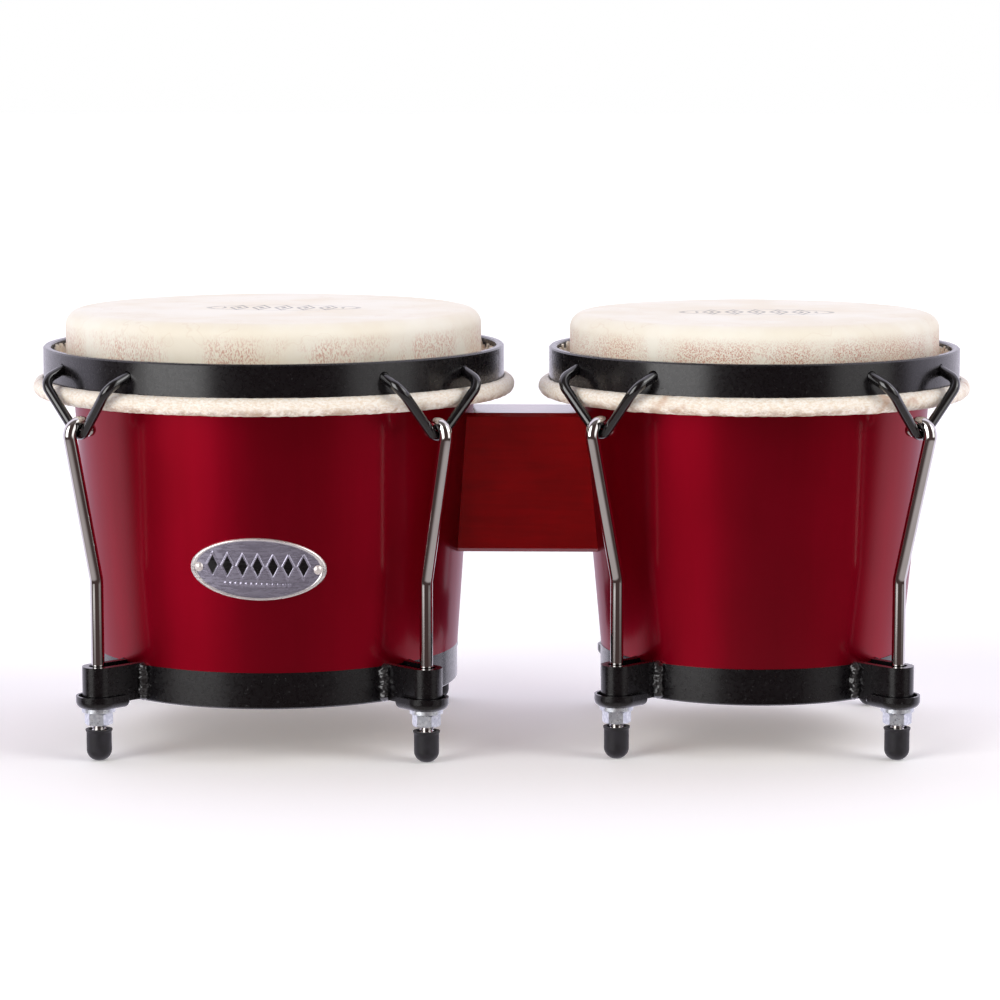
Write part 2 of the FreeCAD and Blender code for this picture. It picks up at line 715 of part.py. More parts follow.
# The lacquered shell of the large drum is drilled for the badge pins.
shells = {drum.name: make_shell(drum) for drum in DRUMS}
reach = large.cone(BADGE_Z)
for side in (-1, 1):
    drill = badge_pin(side, PIN_SHANK_RADIUS + REBATE_GAP, reach - PIN_DEPTH, reach + PIN_DEPTH)
    shells["large"] = shells["large"].cut(drill)

for drum in DRUMS:
    prefix = drum.name + "_"
    export(shells[drum.name], prefix + "shell")
    export(make_head_skin(drum), prefix + "head_skin")
    export(make_wrap(drum), prefix + "rawhide_wrap")
    export(make_flesh_ring(drum), prefix + "flesh_ring")
    export(make_hoop(drum), prefix + "counter_hoop")
    export(make_bottom_ring(drum), prefix + "bottom_ring")

    link = make_link(drum)
    rod = make_rod(drum)
    foot = make_foot(drum)
    straps = []
    welds = []
    plates = []
    washers = []
    for number, (angle, turn) in enumerate(zip(LUG_ANGLES, NUT_TURNS), 1):
        export(at_lug(drum, link, angle), prefix + "hook_link_" + str(number))
        export(at_lug(drum, rod, angle), prefix + "tension_rod_" + str(number))
        export(at_lug(drum, foot, angle), prefix + "foot_cap_" + str(number))
        export(at_lug(drum, make_nut(drum, turn), angle), prefix + "tuning_nut_" + str(number))
        straps.append(at_lug(drum, make_strap(drum), angle))
        plates.append(at_lug(drum, make_plate(drum), angle))
        washers.append(at_lug(drum, make_lug_washer(drum), angle))
        for side in (-1, 1):
            welds.append(at_lug(drum, make_weld(drum, side), angle))
    export(Part.makeCompound(straps), prefix + "lug_straps")
    export(Part.makeCompound(welds), prefix + "lug_welds")
    export(Part.makeCompound(plates), prefix + "lug_plates")
    export(Part.makeCompound(washers), prefix + "lug_washers")

bolts = [make_block_bolt(drum, z) for drum in DRUMS for z in BOLT_HEIGHTS]
bolt_washers = [make_block_washer(drum, z) for drum in DRUMS for z in BOLT_HEIGHTS]
export(make_block(), "centre_block")
export(Part.makeCompound(bolts), "block_bolts")
export(Part.makeCompound(bolt_washers), "block_washers")
export(make_badge(), "badge")
export(Part.makeCompound([make_badge_pin(-1), make_badge_pin(1)]), "badge_pins")
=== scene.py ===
import math

import bpy
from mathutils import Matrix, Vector, noise


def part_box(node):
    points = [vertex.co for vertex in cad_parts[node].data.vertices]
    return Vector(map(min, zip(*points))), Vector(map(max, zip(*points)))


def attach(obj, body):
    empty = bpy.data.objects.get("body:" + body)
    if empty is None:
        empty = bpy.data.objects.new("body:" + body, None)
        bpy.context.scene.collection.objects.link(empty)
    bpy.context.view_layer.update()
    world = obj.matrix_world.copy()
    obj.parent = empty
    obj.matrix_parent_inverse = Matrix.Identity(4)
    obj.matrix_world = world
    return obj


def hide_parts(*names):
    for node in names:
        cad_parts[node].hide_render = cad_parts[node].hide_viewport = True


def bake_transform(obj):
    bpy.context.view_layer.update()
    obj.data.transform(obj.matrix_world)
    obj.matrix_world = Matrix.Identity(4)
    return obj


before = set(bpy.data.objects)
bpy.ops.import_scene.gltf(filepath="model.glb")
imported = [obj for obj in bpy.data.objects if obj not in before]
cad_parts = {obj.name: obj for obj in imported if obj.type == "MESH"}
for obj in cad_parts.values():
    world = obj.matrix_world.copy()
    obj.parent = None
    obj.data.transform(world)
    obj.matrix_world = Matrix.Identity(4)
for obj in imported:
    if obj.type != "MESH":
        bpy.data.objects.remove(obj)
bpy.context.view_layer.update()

# Metres. +X runs from the large drum to the small one, -Y is the badge side, the floor is z = 0.
MM = 0.001
ROOT = "shells"
SKIN = 1.2 * MM
EDGE_BEND = 6.2 * MM
FLARE_BEND = 3.0 * MM
TUBE_RADIUS = 3.7 * MM
HOOP_BORE = 3.4 * MM
TRIM_INSET = 3.45 * MM
LINK_HALF_SPAN = 21.1 * MM
LINK_CLEARANCE = 2.5 * MM
SOFT_EDGE = 0.35 * MM
RING_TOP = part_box("large_bottom_ring")[1].z
SKIN_SEGMENTS = 576
TRIM_SEGMENTS = 1440
PRINT_HALF_WIDTH = 31 * MM
PRINT_HALF_DEPTH = 14 * MM
PRINT_PITCH = 4.6 * MM
BADGE_HALF_WIDTH = 27.0 * MM
BADGE_HALF_HEIGHT = 12.5 * MM
BADGE_RIM_START = 0.92
BADGE_TILT = math.radians(1.4)
ORNAMENT_PITCH = 6.0 * MM
ORNAMENT_RISE = 1.2 * MM
DIAMOND_HALF_WIDTH = 2.1 * MM
DIAMOND_HALF_HEIGHT = 4.2 * MM
LUG_ANGLES = (225, 315, 46.5, 133.5)


class Drum:
    """Where one drum's parts are, read from the frame."""

    def __init__(self, name, foot_radius, flare, hook_centre, rod_axis):
        self.name = name
        self.foot_radius = foot_radius
        self.flare = flare
        self.hook_centre = hook_centre
        self.rod_axis = rod_axis
        skin_low, skin_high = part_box(name + "_head_skin")
        wrap_low, wrap_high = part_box(name + "_rawhide_wrap")
        hoop_low, hoop_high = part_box(name + "_counter_hoop")
        self.x = (skin_low.x + skin_high.x) / 2
        self.head_radius = (skin_high.x - skin_low.x) / 2
        self.head_top = skin_high.z
        self.seam_z = wrap_high.z
        self.flesh_radius = (wrap_high.x - wrap_low.x) / 2
        self.tube_x = self.flesh_radius - TUBE_RADIUS
        self.tube_z = wrap_low.z + TUBE_RADIUS
        self.hoop_radius = (hoop_high.x - hoop_low.x) / 2
        self.hoop_low = hoop_low.z
        self.hoop_high = hoop_high.z
        self.hoop_body = name + "_hoop_set"

    def cone(self, z):
        return self.foot_radius + self.flare * (z - RING_TOP)


large = Drum("large", 75.6 * MM, 0.0687, 100.0 * MM, 93.0 * MM)
large.speckle_patches = (0.36, 0.58)
large.speckle_share = 0.85
large.pore_stretch = 0.4
large.print_shift = 4 * MM

small = Drum("small", 62.5 * MM, 0.094, 89.2 * MM, 79.6 * MM)
small.speckle_patches = (0.3, 0.52)
small.speckle_share = 1.0
small.pore_stretch = 0.8
small.print_shift = 1 * MM

DRUMS = (large, small)


# ------------------------------------------------------------------ materials


def srgb(red, green, blue):
    """Linear colour with alpha from 0-255 display values."""
    linear = []
    for value in (red, green, blue):
        share = value / 255
        linear.append(share / 12.92 if share <= 0.04045 else ((share + 0.055) / 1.055) ** 2.4)
    return (*linear, 1.0)


class Shading:
    """Helpers that add nodes to one node tree, reading the given texture coordinate."""

    def __init__(self, tree, coordinate):
        self.nodes = tree.nodes
        self.links = tree.links
        self.place = self.nodes.new("ShaderNodeTexCoord").outputs[coordinate]

    def feed(self, socket, value):
        if isinstance(value, bpy.types.NodeSocket):
            self.links.new(value, socket)
        else:
            socket.default_value = value

    def scaled(self, stretch):
        node = self.nodes.new("ShaderNodeMapping")
        self.links.new(self.place, node.inputs["Vector"])
        node.inputs["Scale"].default_value = stretch
        return node.outputs["Vector"]

    def noise(self, size, detail=3.0, roughness=0.5, stretch=(1, 1, 1), distortion=0.0):
        """Noise from 0 to 1 whose features are about size metres across."""
        node = self.nodes.new("ShaderNodeTexNoise")
        self.links.new(self.scaled(stretch), node.inputs["Vector"])
        node.inputs["Scale"].default_value = 1 / size
        node.inputs["Detail"].default_value = detail
        node.inputs["Roughness"].default_value = roughness
        node.inputs["Distortion"].default_value = distortion
        return node.outputs["Fac"]

    def cells(self, size):
        """Distance to the nearest of points strewn about size metres apart."""
        node = self.nodes.new("ShaderNodeTexVoronoi")
        self.links.new(self.place, node.inputs["Vector"])
        node.inputs["Scale"].default_value = 1 / size
        return node.outputs["Distance"]

    def math(self, operation, first, second=0.0, third=0.0):
        node = self.nodes.new("ShaderNodeMath")
        node.operation = operation
        self.feed(node.inputs[0], first)
        self.feed(node.inputs[1], second)
        self.feed(node.inputs[2], third)
        return node.outputs[0]

    def apart(self, first, second):
        """How far apart two values are."""
        return self.math("ABSOLUTE", self.math("SUBTRACT", first, second))

    def sum_of_squares(self, first, second):
        one = self.math("MULTIPLY", first, first)
        other = self.math("MULTIPLY", second, second)
        return self.math("ADD", one, other)

    def remap(self, value, low, high, to_low=0.0, to_high=1.0):
        """Value from low to high becomes to_low to to_high, eased and clamped."""
        node = self.nodes.new("ShaderNodeMapRange")
        node.interpolation_type = "SMOOTHSTEP"
        self.feed(node.inputs["Value"], value)
        node.inputs["From Min"].default_value = low
        node.inputs["From Max"].default_value = high
        node.inputs["To Min"].default_value = to_low
        node.inputs["To Max"].default_value = to_high
        return node.outputs["Result"]

    def mix(self, share, first, second, blend="MIX"):
        node = self.nodes.new("ShaderNodeMix")
        node.data_type = "RGBA"
        node.blend_type = blend
        self.feed(node.inputs[0], share)
        self.feed(node.inputs[6], first)
        self.feed(node.inputs[7], second)
        return node.outputs[2]

    def xyz(self):
        node = self.nodes.new("ShaderNodeSeparateXYZ")
        self.links.new(self.place, node.inputs[0])
        return node.outputs[0], node.outputs[1], node.outputs[2]


class Finish(Shading):
    """One material. Its textures are in object space, which is the row frame in metres."""

    def __init__(self, name, **sockets):
        self.material = bpy.data.materials.new(name)
        self.material.use_nodes = True
        super().__init__(self.material.node_tree, "Object")
        self.surface = self.nodes["Principled BSDF"]
        self.normal = None
        for key, value in sockets.items():
            self.set(key.replace("_", " "), value)

    def set(self, socket, value):
        self.feed(self.surface.inputs[socket], value)

    def radius_from(self, axis_x):
        """Distance from a drum's vertical axis."""
        x, y, _ = self.xyz()
        return self.math("SQRT", self.sum_of_squares(self.math("SUBTRACT", x, axis_x), y))

    def bump(self, height, depth, strength=1.0):
        """Raise the surface by height times depth metres, on top of earlier bumps."""
        node = self.nodes.new("ShaderNodeBump")
        node.inputs["Strength"].default_value = strength
        node.inputs["Distance"].default_value = depth
        self.links.new(height, node.inputs["Height"])
        if self.normal is not None:
            self.links.new(self.normal, node.inputs["Normal"])
        self.normal = node.outputs["Normal"]
        self.links.new(self.normal, self.surface.inputs["Normal"])


def lacquered_shell(drum):
    """Deep red lacquer outside, bare sealed wood inside and on the end grain."""
    finish = Finish(drum.name + "_lacquer", Coat_Weight=0.42, Coat_Roughness=0.15, Coat_IOR=1.5)
    finish.set("Specular IOR Level", 0.1)
    finish.set("Specular Tint", (0.6, 0.42, 0.52, 1.0))
    _, _, z = finish.xyz()
    reach = finish.radius_from(drum.x)
    cone = finish.math("MULTIPLY_ADD", z, drum.flare, drum.foot_radius - drum.flare * RING_TOP)
    depth = finish.math("SUBTRACT", cone, reach)
    inside = finish.remap(depth, 1.2 * MM, 2.0 * MM)
    streaks = finish.noise(9 * MM, 5.0, 0.6, (1, 1, 0.12))
    clouds = finish.noise(60 * MM, 2.0)
    tone = finish.math("MULTIPLY_ADD", streaks, 0.35, finish.math("MULTIPLY", clouds, 0.65))
    deep = (0.255, 0.0, 0.009, 1.0)
    bright = (0.315, 0.0, 0.013, 1.0)
    red = finish.mix(finish.remap(tone, 0.3, 0.7), deep, bright)
    grain = finish.noise(4 * MM, 6.0, 0.65, (1, 1, 0.07), 0.6)
    wood = finish.mix(finish.remap(grain, 0.32, 0.68), srgb(196, 158, 112), srgb(146, 104, 66))
    finish.set("Base Color", finish.mix(inside, red, wood))
    finish.set("Roughness", finish.remap(inside, 0.0, 1.0, 0.42, 0.6))
    finish.set("Metallic", finish.remap(inside, 0.0, 1.0, 0.9, 0.0))
    finish.bump(finish.noise(6 * MM, 2.0), 0.04 * MM, 0.2)
    finish.bump(finish.noise(0.5 * MM, 3.0, 0.6), 0.01 * MM, 0.2)
    return finish.material


def lacquered_block():
    """Red lacquer over a sawn block, with the grain showing faintly."""
    finish = Finish("block_lacquer", Coat_Weight=1.0, Coat_Roughness=0.08, Coat_IOR=1.5)
    finish.set("Specular IOR Level", 0.1)
    finish.set("Specular Tint", (1.0, 0.1, 0.1, 1.0))
    grain = finish.noise(3 * MM, 6.0, 0.62, (0.1, 1, 1), 0.5)
    patches = finish.noise(22 * MM, 3.0, 0.5)
    tone = finish.math("MULTIPLY_ADD", grain, 0.45, finish.math("MULTIPLY", patches, 0.55))
    deep = (0.17, 0.0, 0.001, 1.0)
    bright = (0.235, 0.0, 0.0015, 1.0)
    finish.set("Base Color", finish.mix(finish.remap(tone, 0.35, 0.65), deep, bright))
    finish.set("Roughness", finish.remap(grain, 0.3, 0.7, 0.4, 0.5))
    finish.bump(grain, 0.02 * MM, 0.3)
    return finish.material


def rawhide(drum):
    """Natural hide: pale drumming surface, pink-brown pores on the collar, fibrous rolled rim."""
    finish = Finish(drum.name + "_rawhide", Specular_IOR_Level=0.35, Sheen_Weight=0.12)
    _, y, z = finish.xyz()
    reach = finish.radius_from(drum.x)
    clouds = finish.noise(34 * MM, 4.0, 0.55)
    pale = finish.mix(finish.remap(clouds, 0.32, 0.68), srgb(243, 239, 224), srgb(237, 229, 209))
    pores = finish.noise(0.5 * MM, 2.0, 0.7, (1, 1, drum.pore_stretch))
    patches = finish.noise(22 * MM, 4.0, 0.65, (1, 1, 0.5))
    below_edge = finish.remap(z, drum.head_top - 11 * MM, drum.head_top - 3 * MM, 1.0, 0.0)
    patchy = finish.remap(patches, *drum.speckle_patches)
    speckled = finish.math("MULTIPLY", finish.remap(pores, 0.46, 0.6), patchy)
    where = finish.math("MULTIPLY", below_edge, drum.speckle_share)
    speckled = finish.math("MULTIPLY", speckled, where)
    hide = finish.mix(speckled, pale, srgb(204, 152, 128))
    rim = finish.remap(reach, drum.head_radius + 1 * MM, drum.head_radius + 4 * MM)
    fibres = finish.noise(1.6 * MM, 5.0, 0.7, (1, 1, 2.2))
    stains = finish.noise(14 * MM, 3.0, 0.6)
    rim_tone = finish.mix(finish.remap(fibres, 0.35, 0.7), srgb(249, 244, 233), srgb(230, 213, 187))
    rim_tone = finish.mix(finish.remap(stains, 0.58, 0.72, 0.0, 0.6), rim_tone, srgb(196, 150, 112))
    # The rolled rim turns blotchy brown towards its bottom, below the middle of the roll.
    under = finish.remap(z, drum.tube_z - 2.6 * MM, drum.tube_z + 0.4 * MM, 0.65, 0.0)
    blotch_mask = finish.remap(finish.noise(8 * MM, 5.0, 0.75), 0.42, 0.6)
    browner_low = finish.math("MULTIPLY", under, blotch_mask)
    rim_tone = finish.mix(browner_low, rim_tone, srgb(160, 120, 84))
    hide = finish.mix(rim, hide, rim_tone)
    contour = finish.apart(finish.noise(42 * MM, 4.0, 0.55), 0.53)
    veins = finish.remap(contour, 0.0, 0.007, 0.2, 0.0)
    hide = finish.mix(veins, hide, srgb(214, 190, 164))
    hide = finish.mix(printed_chain(finish, drum, y, z), hide, srgb(66, 60, 66))
    finish.set("Base Color", hide)
    finish.set("Roughness", finish.remap(clouds, 0.3, 0.7, 0.42, 0.56))
    finish.bump(finish.noise(5 * MM, 4.0, 0.6), 0.25 * MM, 0.3)
    finish.bump(pores, 0.08 * MM, 0.45)
    finish.bump(finish.math("MULTIPLY", fibres, rim), 0.25 * MM, 0.6)
    return finish.material


def printed_chain(finish, drum, y, z):
    """Plain printed ornament on the drumming surface: a chain of diamonds in a thin oval."""
    x, _, _ = finish.xyz()
    across = finish.math("SUBTRACT", x, drum.x + drum.print_shift)
    wide = finish.math("DIVIDE", across, PRINT_HALF_WIDTH)
    deep = finish.math("DIVIDE", y, PRINT_HALF_DEPTH)
    outline = finish.remap(finish.apart(finish.sum_of_squares(wide, deep), 1.0), 0.05, 0.09, 0.6, 0.0)
    cell = finish.math("PINGPONG", across, PRINT_PITCH)
    slant = finish.math("ADD", finish.math("DIVIDE", cell, PRINT_PITCH), finish.math("ABSOLUTE", deep))
    strokes = finish.remap(finish.apart(slant, 0.78), 0.09, 0.14, 1.0, 0.0)
    hearts = finish.remap(slant, 0.26, 0.32, 1.0, 0.0)
    within = finish.remap(finish.math("ABSOLUTE", wide), 0.8, 0.82, 1.0, 0.0)
    chain = finish.math("MULTIPLY", finish.math("MAXIMUM", strokes, hearts), within)
    marks = finish.math("MAXIMUM", outline, chain)
    worn = finish.remap(finish.noise(1.1 * MM, 3.0, 0.7), 0.3, 0.6, 0.4, 0.85)
    on_top = finish.remap(z, drum.head_top - 1.0 * MM, drum.head_top - 0.6 * MM)
    return finish.math("MULTIPLY", finish.math("MULTIPLY", marks, worn), on_top)


def powder_coat():
    """Black satin powder coat on the hoops, rings and lugs."""
    finish = Finish("black_powder_coat", Coat_Weight=0.45, Coat_Roughness=0.14, Specular_IOR_Level=0.34)
    tone = finish.noise(7 * MM, 3.0)
    finish.set("Base Color", finish.mix(tone, srgb(8, 6, 8), srgb(14, 11, 14)))
    finish.set("Roughness", finish.remap(finish.noise(1.5 * MM, 4.0), 0.3, 0.7, 0.24, 0.34))
    finish.bump(finish.noise(2.6 * MM, 2.0), 0.04 * MM, 0.4)
    finish.bump(finish.noise(0.45 * MM, 2.0), 0.015 * MM, 0.4)
    finish.bump(finish.remap(finish.noise(1.3 * MM, 2.0, 0.6), 0.66, 0.72), 0.15 * MM, 0.6)
    return finish.material


def weld_coat():
    """The same black coat over the lumpy weld beads."""
    finish = Finish("black_weld_coat", Coat_Weight=0.8, Coat_Roughness=0.1)
    lumps = finish.noise(1.3 * MM, 4.0, 0.65)
    share = finish.remap(lumps, 0.4, 0.7)
    finish.set("Base Color", finish.mix(share, srgb(12, 10, 12), srgb(30, 27, 29)))
    finish.set("Roughness", finish.remap(lumps, 0.3, 0.7, 0.28, 0.5))
    finish.bump(lumps, 0.35 * MM, 0.8)
    return finish.material


def wire_coat():
    """Black semi-gloss coat on the bent wire links."""
    finish = Finish("black_wire_coat", Coat_Weight=1.0, Coat_Roughness=0.04, Specular_IOR_Level=0.3)
    scuffs = finish.noise(2.4 * MM, 5.0, 0.7)
    share = finish.remap(scuffs, 0.45, 0.75)
    finish.set("Base Color", finish.mix(share, srgb(9, 8, 9), srgb(22, 19, 22)))
    finish.set("Roughness", finish.remap(scuffs, 0.3, 0.7, 0.14, 0.28))
    finish.bump(finish.noise(0.9 * MM, 3.0), 0.015 * MM, 0.2)
    return finish.material


def chrome():
    """Bright plated rods with fine drawing marks."""
    finish = Finish("chrome_plate", Metallic=1.0)
    marks = finish.noise(0.8 * MM, 4.0, 0.7, (1, 1, 0.05))
    clouds = finish.noise(12 * MM, 3.0)
    finish.set("Base Color", finish.mix(clouds, srgb(222, 219, 217), srgb(200, 196, 194)))
    finish.set("Roughness", finish.remap(marks, 0.3, 0.75, 0.03, 0.1))
    finish.bump(marks, 0.008 * MM, 0.2)
    return finish.material


def zinc():
    """Zinc plated nuts and washers, blue-white and lightly mottled."""
    finish = Finish("zinc_plate", Metallic=0.8)
    spangle = finish.cells(1.6 * MM)
    fine = finish.noise(0.7 * MM, 4.0, 0.6)
    share = finish.remap(spangle, 0.1, 0.7)
    finish.set("Base Color", finish.mix(share, srgb(232, 235, 240), srgb(204, 208, 216)))
    finish.set("Roughness", finish.remap(fine, 0.3, 0.7, 0.26, 0.46))
    finish.bump(fine, 0.04 * MM, 0.5)
    return finish.material


def plain_steel():
    """Hidden plain steel: the flesh rings, block bolts and washers."""
    finish = Finish("plain_steel", Metallic=1.0)
    brushed = finish.noise(1.2 * MM, 4.0, 0.6, (0.2, 1, 1))
    finish.set("Base Color", finish.mix(brushed, srgb(150, 150, 152), srgb(182, 182, 184)))
    finish.set("Roughness", finish.remap(brushed, 0.3, 0.7, 0.3, 0.45))
    return finish.material


def foot_rubber():
    """Soft matt rubber with mould bloom."""
    finish = Finish("foot_rubber", Specular_IOR_Level=0.4, Sheen_Weight=0.1)
    bloom = finish.noise(3.5 * MM, 4.0, 0.6)
    share = finish.remap(bloom, 0.35, 0.7)
    finish.set("Base Color", finish.mix(share, srgb(22, 20, 25), srgb(36, 33, 40)))
    finish.set("Roughness", finish.remap(bloom, 0.3, 0.7, 0.5, 0.68))
    finish.bump(finish.noise(0.5 * MM, 3.0), 0.05 * MM, 0.6)
    return finish.material


def badge_metal():
    """Blue-grey plate with a bright rim and black paint in the ornament."""
    finish = Finish("badge_metal")
    x, _, z = finish.xyz()
    low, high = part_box("badge")
    across = finish.math("SUBTRACT", x, (low.x + high.x) / 2)
    rise = finish.math("SUBTRACT", z, (low.z + high.z) / 2)
    up = finish.math("MULTIPLY_ADD", across, math.sin(BADGE_TILT), rise)
    wide = finish.math("DIVIDE", across, BADGE_HALF_WIDTH)
    tall = finish.math("DIVIDE", up, BADGE_HALF_HEIGHT)
    share_out = finish.math("SQRT", finish.sum_of_squares(wide, tall))
    rim = finish.remap(share_out, BADGE_RIM_START - 0.01, BADGE_RIM_START + 0.01)
    brushed = finish.noise(0.9 * MM, 4.0, 0.6, (0.06, 1, 1))
    plate = finish.mix(brushed, srgb(142, 138, 156), srgb(176, 172, 188))
    plate = finish.mix(rim, plate, srgb(240, 236, 234))
    counted = finish.math("ADD", across, 8 * ORNAMENT_PITCH)
    cell = finish.math("PINGPONG", counted, ORNAMENT_PITCH / 2)
    tallness = finish.math("DIVIDE", finish.apart(up, ORNAMENT_RISE), DIAMOND_HALF_HEIGHT)
    slant = finish.math("ADD", finish.math("DIVIDE", cell, DIAMOND_HALF_WIDTH), tallness)
    ends = (3.4 * ORNAMENT_PITCH, 3.5 * ORNAMENT_PITCH)
    within = finish.remap(finish.math("ABSOLUTE", across), *ends, 1.0, 0.0)
    paint = finish.math("MULTIPLY", finish.remap(slant, 0.9, 1.0, 1.0, 0.0), within)
    finish.set("Base Color", finish.mix(paint, plate, srgb(10, 9, 12)))
    finish.set("Metallic", finish.remap(paint, 0.0, 1.0, 0.7, 0.0))
    finish.set("Roughness", finish.remap(brushed, 0.3, 0.7, 0.2, 0.34))
    finish.bump(brushed, 0.02 * MM, 0.3)
    return finish.material


def pin_metal():
    """Bright rounded pin heads."""
    finish = Finish("pin_metal", Metallic=0.6)
    worn = finish.noise(0.5 * MM, 3.0, 0.6)
    finish.set("Base Color", finish.mix(worn, srgb(250, 244, 240), srgb(226, 216, 212)))
    finish.set("Roughness", finish.remap(worn, 0.3, 0.7, 0.3, 0.45))
    finish.bump(worn, 0.03 * MM, 0.4)
    return finish.material


def dress(node, material):
    """Give a CAD node its finish."""
    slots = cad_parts[node].data.materials
    slots.clear()
    slots.append(material)


# --------------------------------------------------------------------- meshes


def mesh_piece(name, vertices, faces, material):
    mesh = bpy.data.meshes.new(name)
    mesh.from_pydata(vertices, [], faces)
    mesh.validate()
    mesh.shade_smooth()
    mesh.materials.append(material)
    piece = bpy.data.objects.new(name, mesh)
    bpy.context.scene.collection.objects.link(piece)
    return piece


def arc(centre_x, centre_z, radius, start, end, steps):
    """Points of an arc in a section, angles in degrees from the outward direction."""
    points = []
    for step in range(steps + 1):
        angle = math.radians(start + (end - start) * step / steps)
        points.append((centre_x + radius * math.cos(angle), centre_z + radius * math.sin(angle)))
    return points


def line(start, end, steps):
    """Evenly spaced points after start, up to end."""
    return [
        (start[0] + (end[0] - start[0]) * k / steps, start[1] + (end[1] - start[1]) * k / steps)
        for k in range(1, steps + 1)
    ]


def skin_centreline(drum):
    """Section of the hide from the middle of the head to under the counter hoop."""
    half = SKIN / 2
    top = drum.head_top - half
    bend = EDGE_BEND - half
    shoulder = drum.head_radius - EDGE_BEND
    wall = drum.head_radius - half
    roll = TUBE_RADIUS - half
    flare_z = drum.seam_z
    to_tube = math.hypot(drum.tube_x - wall, flare_z - drum.tube_z)
    slope = math.atan2(flare_z - drum.tube_z, drum.tube_x - wall) + math.asin(roll / to_tube)
    run = math.sqrt(to_tube ** 2 - roll ** 2)
    touch = (wall + run * math.cos(slope), flare_z - run * math.sin(slope))
    cut_back = FLARE_BEND * math.tan((math.pi / 2 - slope) / 2)
    bend_start = (wall, flare_z + cut_back)
    bend_end = (wall + cut_back * math.cos(slope), flare_z - cut_back * math.sin(slope))
    points = [(0.002, top)]
    points += line(points[-1], (shoulder, top), 14)
    points += arc(shoulder, top - bend, bend, 90, 0, 12)[1:]
    points += line(points[-1], bend_start, 12)
    turn = math.degrees(math.pi / 2 - slope)
    points += arc(wall + FLARE_BEND, bend_start[1], FLARE_BEND, 180, 180 + turn, 5)[1:]
    points += line(bend_end, touch, 6)
    points += arc(drum.tube_x, drum.tube_z, roll, -90 - math.degrees(slope), 112, 34)[1:]
    return points


def offset_sides(points, half):
    """The two faces of a sheet whose centreline is given, half a thickness to each side."""
    above = []
    below = []
    for index, (x, z) in enumerate(points):
        before = points[max(index - 1, 0)]
        after = points[min(index + 1, len(points) - 1)]
        along = Vector((after[0] - before[0], after[1] - before[1])).normalized()
        across = Vector((-along.y, along.x)) * half
        above.append((x + across.x, z + across.y))
        below.append((x - across.x, z - across.y))
    return above, below


def hide_noise(drum, angle, x, z):
    """How far the hide stands in from its nominal face, in metres, never negative."""
    spot = Vector((math.cos(angle) * x, math.sin(angle) * x, z)) + Vector((drum.x, 0, 0))
    rolled = x > drum.head_radius + 2 * MM
    if rolled:
        fibres = noise.noise(spot / (1.5 * MM)) + 0.7 * noise.noise(spot / (4.5 * MM))
        low = max(0.0, (drum.tube_z - z) / TUBE_RADIUS)
        return 0.12 * MM * max(0.0, 0.75 + fibres) + 0.15 * MM * low * fibres
    swell = noise.noise(spot / (30 * MM)) + 0.4 * noise.noise(spot / (9 * MM))
    return 0.12 * MM * max(0.0, 0.7 + swell)


def make_skin(drum, material):
    """One sheet of hide from the drumming surface to the rim under the hoop."""
    centreline = skin_centreline(drum)
    above, below = offset_sides(centreline, SKIN / 2)
    hoop_inner = drum.hoop_radius - HOOP_BORE
    vertices = []
    faces = []
    outer_rings = []
    inner_rings = []
    for side, rings in ((above, outer_rings), (below, inner_rings)):
        for (x, z), middle in zip(side, centreline):
            ring = []
            away = Vector((x - middle[0], z - middle[1])).normalized()
            for step in range(SKIN_SEGMENTS):
                angle = 2 * math.pi * step / SKIN_SEGMENTS
                visible = (side is above) == (middle[0] <= drum.head_radius + 2 * MM)
                inset = hide_noise(drum, angle, middle[0], middle[1]) if visible else 0.0
                place_x = x - away.x * inset
                place_z = z - away.y * inset
                under_hoop = hoop_inner < place_x < drum.hoop_radius + 0.2 * MM
                if under_hoop and place_z > drum.tube_z:
                    place_z = min(place_z, drum.hoop_low - 0.03 * MM)
                ring.append(len(vertices))
                across = place_x * math.cos(angle)
                vertices.append((drum.x + across, place_x * math.sin(angle), place_z))
            rings.append(ring)
    for rings, flip in ((outer_rings, False), (inner_rings, True)):
        for first, second in zip(rings, rings[1:]):
            faces += ring_quads(first, second, flip)
        centre_z = vertices[rings[0][0]][2]
        vertices.append((drum.x, 0, centre_z))
        faces += fan(len(vertices) - 1, rings[0], not flip)
    faces += ring_quads(outer_rings[-1], inner_rings[-1], False)
    piece = mesh_piece(drum.name + "_hide", vertices, faces, material)
    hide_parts(drum.name + "_head_skin", drum.name + "_rawhide_wrap")
    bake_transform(piece)


def ring_quads(first, second, flip):
    count = len(first)
    quads = []
    for k in range(count):
        after = (k + 1) % count
        quad = (first[k], first[after], second[after], second[k])
        quads.append(quad[::-1] if flip else quad)
    return quads


def fan(centre, ring, flip):
    count = len(ring)
    triangles = []
    for k in range(count):
        triangle = (centre, ring[(k + 1) % count], ring[k])
        triangles.append(triangle if flip else triangle[::-1])
    return triangles


def trim_height(drum, angle):
    """Height of the hide's ragged cut edge inside the hoop, low where the link ends pass."""
    spot = Vector((math.cos(angle), math.sin(angle), 0.0)) * drum.hoop_radius
    ragged = sum(noise.noise(spot / size) for size in (1.1 * MM, 3.2 * MM, 11 * MM))
    height = min(drum.seam_z + (6.4 + 2.2 * ragged) * MM, drum.hoop_high - 0.4 * MM)
    link_offset = math.asin(LINK_HALF_SPAN / drum.hoop_radius)
    for lug in LUG_ANGLES:
        for side in (-1, 1):
            apart = angle - math.radians(lug) - side * link_offset
            apart = (apart + math.pi) % (2 * math.pi) - math.pi
            clear = abs(apart) * drum.hoop_radius
            height = min(height, drum.seam_z + max(0.0, clear - LINK_CLEARANCE) * 0.8)
    return height


